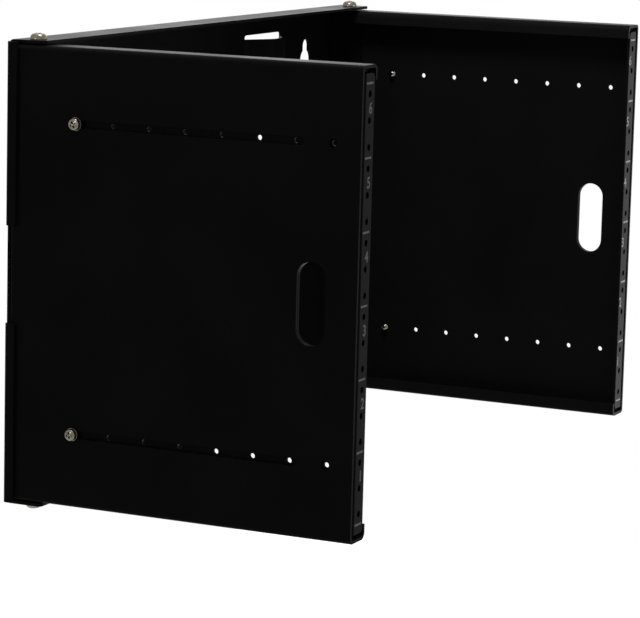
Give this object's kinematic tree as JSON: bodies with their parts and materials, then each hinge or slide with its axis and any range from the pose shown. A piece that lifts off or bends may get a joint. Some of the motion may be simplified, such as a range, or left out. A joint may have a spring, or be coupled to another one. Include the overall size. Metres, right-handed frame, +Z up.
{
  "type": "wall-mount open frame rack",
  "caption": "Open wall-mount rack of folded black steel: a back plate, two channel brackets, and side panels with drilled rack rails that slide out to set the depth.",
  "frame": {"origin": "middle of the back plate's wall face", "axes": "+Z up, +Y into the wall, +X to the right as seen from the front"},
  "size_m": [0.496, 0.2413, 0.302],
  "materials": {
    "powder_coated_steel": "satin black powder coat",
    "nickel_plated_steel": "bright nickel plate"
  },
  "bodies": {
    "frame": {"back_plate": "powder_coated_steel", "left_bracket": "powder_coated_steel", "right_bracket": "powder_coated_steel", "upper_left_corner_screw": "nickel_plated_steel", "upper_left_corner_nut": "nickel_plated_steel", "upper_right_corner_screw": "nickel_plated_steel", "upper_right_corner_nut": "nickel_plated_steel", "lower_left_corner_screw": "nickel_plated_steel", "lower_left_corner_nut": "nickel_plated_steel", "lower_right_corner_screw": "nickel_plated_steel", "lower_right_corner_nut": "nickel_plated_steel"},
    "left_panel": {"left_sliding_panel": "powder_coated_steel", "upper_left_depth_screw": "nickel_plated_steel", "lower_left_depth_screw": "nickel_plated_steel"},
    "right_panel": {"right_sliding_panel": "powder_coated_steel", "upper_right_depth_screw": "nickel_plated_steel", "lower_right_depth_screw": "nickel_plated_steel"}
  },
  "joints": [
    {"name": "left_panel_slide", "type": "slide", "parent": "frame", "child": "left_panel", "axis": [0, -1, 0], "range_m": [0, 0.1524]},
    {"name": "right_panel_slide", "type": "slide", "parent": "frame", "child": "right_panel", "axis": [0, -1, 0], "range_m": [0, 0.1524]}
  ]
}
